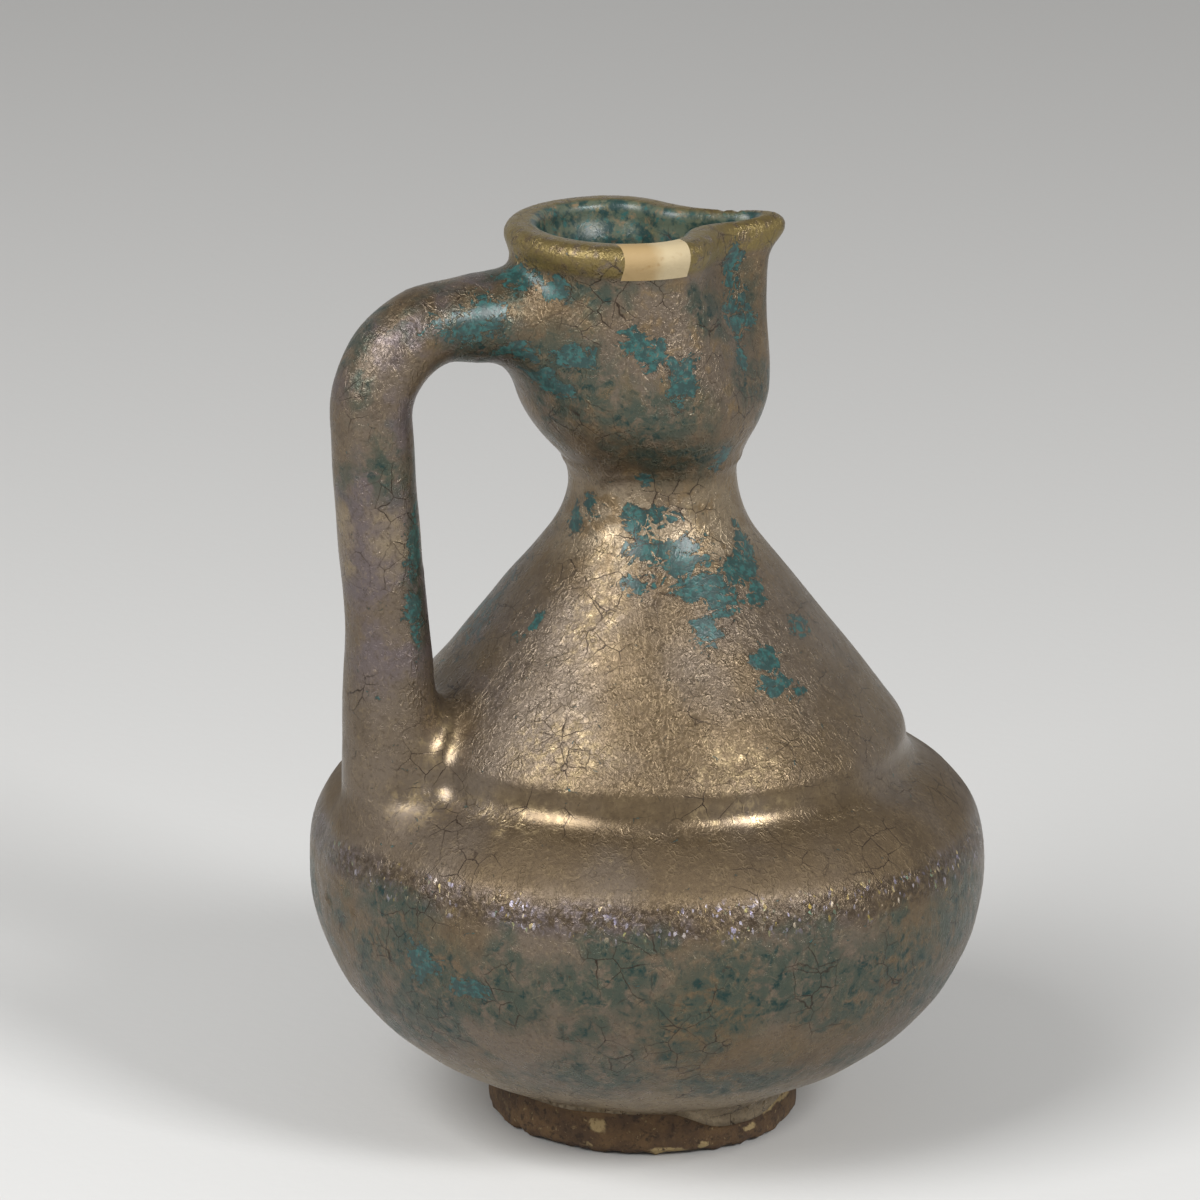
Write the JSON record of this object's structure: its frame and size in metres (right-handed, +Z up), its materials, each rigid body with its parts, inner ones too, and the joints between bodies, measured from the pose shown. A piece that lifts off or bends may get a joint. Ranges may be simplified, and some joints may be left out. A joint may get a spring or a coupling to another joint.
{
  "type": "ewer",
  "caption": "Small glazed ceramic ewer: round belly on a foot ring, conical shoulder, narrow neck, cup mouth with a pinched spout, and a rod handle.",
  "frame": {"origin": "centre of the foot's resting plane, on the axis of the belly", "axes": "+Z up along the axis of the belly and neck, -X towards the handle, whose plane is Y = 0, and +X near the spout, which is turned 8 degrees from it towards -Y"},
  "size_m": [0.1222, 0.1208, 0.1664],
  "materials": {
    "clay": "unglazed fired clay, umber brown, worn",
    "glaze": "weathered turquoise glaze with a bronze, iridescent bloom",
    "lining": "dark teal glaze, satin",
    "fill": "pale plaster-like fill, matt"
  },
  "bodies": {
    "root": {"foot_ring": "clay", "lower_bowl": "clay", "upper_bowl": "clay", "shoulder_cone": "clay", "mouth_cup": "clay", "handle": "clay", "upper_handle_wad": "clay", "lower_handle_wad": "clay", "outer_glaze": "glaze", "mouth_lining": "lining", "lip_fill": "fill"}
  },
  "joints": []
}
